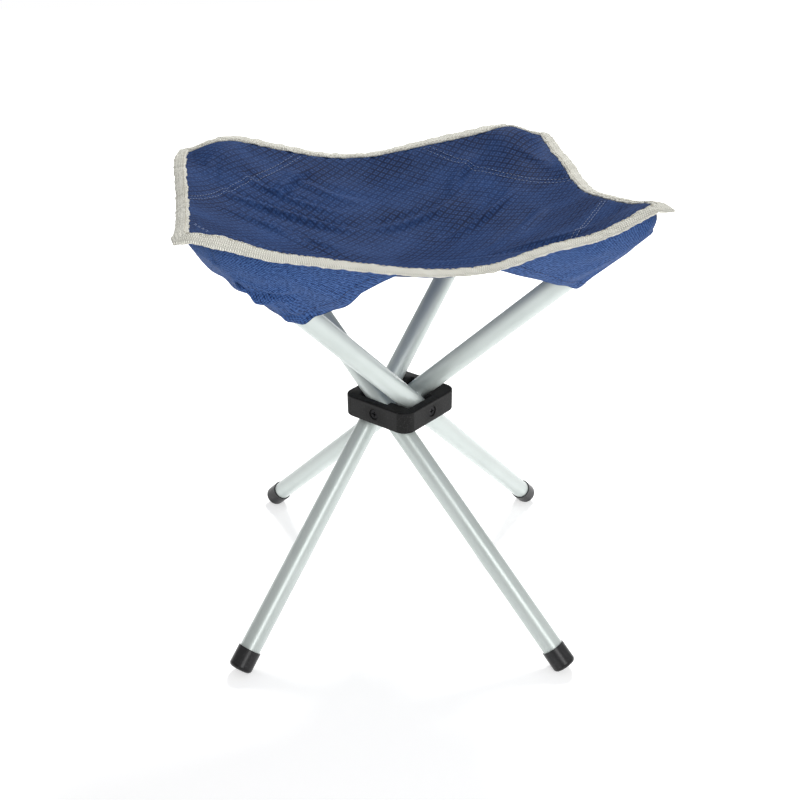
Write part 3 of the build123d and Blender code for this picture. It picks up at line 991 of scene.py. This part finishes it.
def build_pockets():
    """Each pocket in two halves that meet on its keel and share their normals there."""
    keel = POCKET_ACROSS - 1
    for number in LEGS:
        first, second = (pocket_surface(number, letter) for letter in "ab")
        whole = np.concatenate([first[:, ::-1], second[:, 1:]], axis=1)
        normals = grid_normals(whole)
        if np.mean(normals[..., 2]) > 0:
            normals = -normals
        x = np.concatenate([[0], np.cumsum(np.linalg.norm(np.diff(whole, axis=1), axis=-1).mean(0))])
        y = np.concatenate([[0], np.cumsum(np.linalg.norm(np.diff(whole, axis=0), axis=-1).mean(1))])
        x = x - x[keel]
        for letter, half in (("a", slice(0, keel + 1)), ("b", slice(keel, 2 * keel + 1))):
            build_half_pocket(number, letter, whole[:, half], normals[:, half], x[half], y)


def sheet_faces(rows, columns, start, flip):
    """Four-sided faces of a grid of points numbered row by row from start."""
    faces = []
    for i in range(rows - 1):
        for j in range(columns - 1):
            p = start + i * columns + j
            face = (p, p + columns, p + columns + 1, p + 1)
            faces.append(face[::-1] if flip else face)
    return faces


POCKET_THICK = 0.8
HEM_ROWS = 6
HEM_STITCH_LIFT = 0.05
HEM_OUT, HEM_IN = 0.55, 0.5  # how far the folded hem stands out of each side


def build_half_pocket(number, letter, part, normal, x, y):
    """Outer and inner skins joined at the mouth by a folded hem, with its row of stitches."""
    rows, columns = part.shape[:2]
    from_mouth = rows - 1 - np.arange(rows)
    hem = np.clip(1 - np.abs(from_mouth - HEM_ROWS / 2) / (HEM_ROWS / 2 + 0.5), 0, 1) ** 0.3
    hem = np.where(from_mouth <= HEM_ROWS, hem, 0.0)[:, None, None]
    outer = part + normal * HEM_OUT * hem
    inner = part - normal * (POCKET_THICK + HEM_IN * hem)
    points = np.concatenate([outer.reshape(-1, 3), inner.reshape(-1, 3)])
    uv = np.tile(np.stack(np.meshgrid(x, y), -1).reshape(-1, 2), (2, 1))
    flip = float(np.cross(part[1, 0] - part[0, 0], part[0, 1] - part[0, 0]) @ normal[0, 0]) < 0
    faces = sheet_faces(rows, columns, 0, flip) + sheet_faces(rows, columns, rows * columns, not flip)
    last, gap = (rows - 1) * columns, rows * columns
    for j in range(columns - 1):
        face = (last + j, last + j + 1, gap + last + j + 1, gap + last + j)
        faces.append(face[::-1] if flip else face)
    pocket = add_mesh(f"pocket_{number}{letter}", points, faces, POCKET_FABRIC, None, uv)
    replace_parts(pocket, f"corner_pocket_{number}")
    row = rows - 1 - HEM_ROWS
    path = outer[row] + normal[row] * HEM_STITCH_LIFT
    points, faces = stitch_run(path, normal[row], **HEM_STITCH)
    hem_row = add_mesh(f"hem_stitches_{number}{letter}", np.array(points), faces, DARK_THREAD)
    # bakes both pieces' transforms into their meshes; both go over from the tube, at the keel, to the seat,
    # at the seam
    for made in (pocket, hem_row):
        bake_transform(made)


build_seat()
build_tape()
build_tape_stitches()
build_seam_stitches()
build_pockets()


# ---- floor, light and camera
FLOOR_SIZE = 6.0  # metres from the middle to each side
WHITE, FLOOR_WHITE, FLOOR_PALE = (1.0, 1.0, 1.0), (0.86, 0.86, 0.86), (0.84, 0.84, 0.84)


def build_floor():
    """Pale floor that glows to plain white farther off."""
    mesh = bpy.data.meshes.new("floor")
    corners = [(FLOOR_SIZE * x, FLOOR_SIZE * y, 0) for x, y in ((-1, -1), (1, -1), (1, 1), (-1, 1))]
    mesh.from_pydata(corners, [], [(0, 1, 2, 3)])
    floor = link("floor", mesh)
    material, m = new_material("floor")
    place = m.place()
    base = m.mix(m.noise(place, 3.0), FLOOR_PALE, FLOOR_WHITE)
    away = m.node("ShaderNodeVectorMath", operation="LENGTH")
    m.give(away.inputs[0], place)
    glow = m.ramp(away.outputs["Value"], 0.3, 1.4, 0.48, 1.0)
    m.surface(Base_Color=base, Roughness=0.9, Specular_IOR_Level=0.1)
    m.surface(Emission_Color=WHITE, Emission_Strength=glow)
    mesh.materials.append(material)


LIT_PLACE = (0, 0, 0.2)  # what each lamp points at


def add_light(name, place, size, power):
    """Soft round lamp at a place in metres."""
    lamp = bpy.data.lights.new(name, "AREA")
    lamp.shape = "DISK"
    lamp.size = size
    lamp.energy = power
    made = link(name, lamp)
    made.location = place
    made.rotation_mode = "QUATERNION"
    made.rotation_quaternion = (Vector(LIT_PLACE) - Vector(place)).to_track_quat("-Z", "Y")


CAMERA_BEARING = -11.23  # degrees from the front, counter-clockwise from above
CAMERA_TILT = 26.29
CAMERA_ROLL = -0.48
CAMERA_DISTANCE = 0.7744  # metres from the middle of the hub
CAMERA_LENS = 44.49


def build_camera():
    """Camera that looks at the middle of the hub."""
    data = bpy.data.cameras.new("camera")
    data.lens = CAMERA_LENS
    data.sensor_width = 36.0
    data.clip_start, data.clip_end = 0.01, 50.0
    camera = link("camera", data)
    a, e, roll = radians(CAMERA_BEARING), radians(CAMERA_TILT), radians(CAMERA_ROLL)
    back = Vector((sin(a) * cos(e), -cos(a) * cos(e), sin(e)))
    right = Vector((0, 0, 1)).cross(back).normalized()
    up = back.cross(right)
    rolled_right = cos(roll) * right + sin(roll) * up
    rolled_up = back.cross(rolled_right)
    turn = Matrix((rolled_right, rolled_up, back)).transposed()
    place = Vector((0, 0, PIVOT_Z * MM)) + back * CAMERA_DISTANCE
    camera.matrix_world = Matrix.Translation(place) @ turn.to_4x4()
    bpy.context.scene.camera = camera


def build_world():
    """Even light all round, and plain white behind the stool."""
    world = bpy.data.worlds.new("studio")
    bpy.context.scene.world = world
    world.use_nodes = True
    m = Maker(world.node_tree)
    background = world.node_tree.nodes["Background"]
    m.give(background.inputs["Color"], WHITE)
    seen = m.node("ShaderNodeLightPath").outputs["Is Camera Ray"]
    m.give(background.inputs["Strength"], m.ramp(seen, 0.0, 1.0, 0.38, 1.0))


build_floor()
add_light("key", (0.2, -2.0, 1.2), 1.1, 19)
add_light("fill", (1.6, -0.8, 0.9), 1.6, 3)
add_light("top", (0.55, 1.25, 1.75), 0.5, 42)
build_world()
bpy.context.scene.view_settings.view_transform = "Standard"
build_camera()
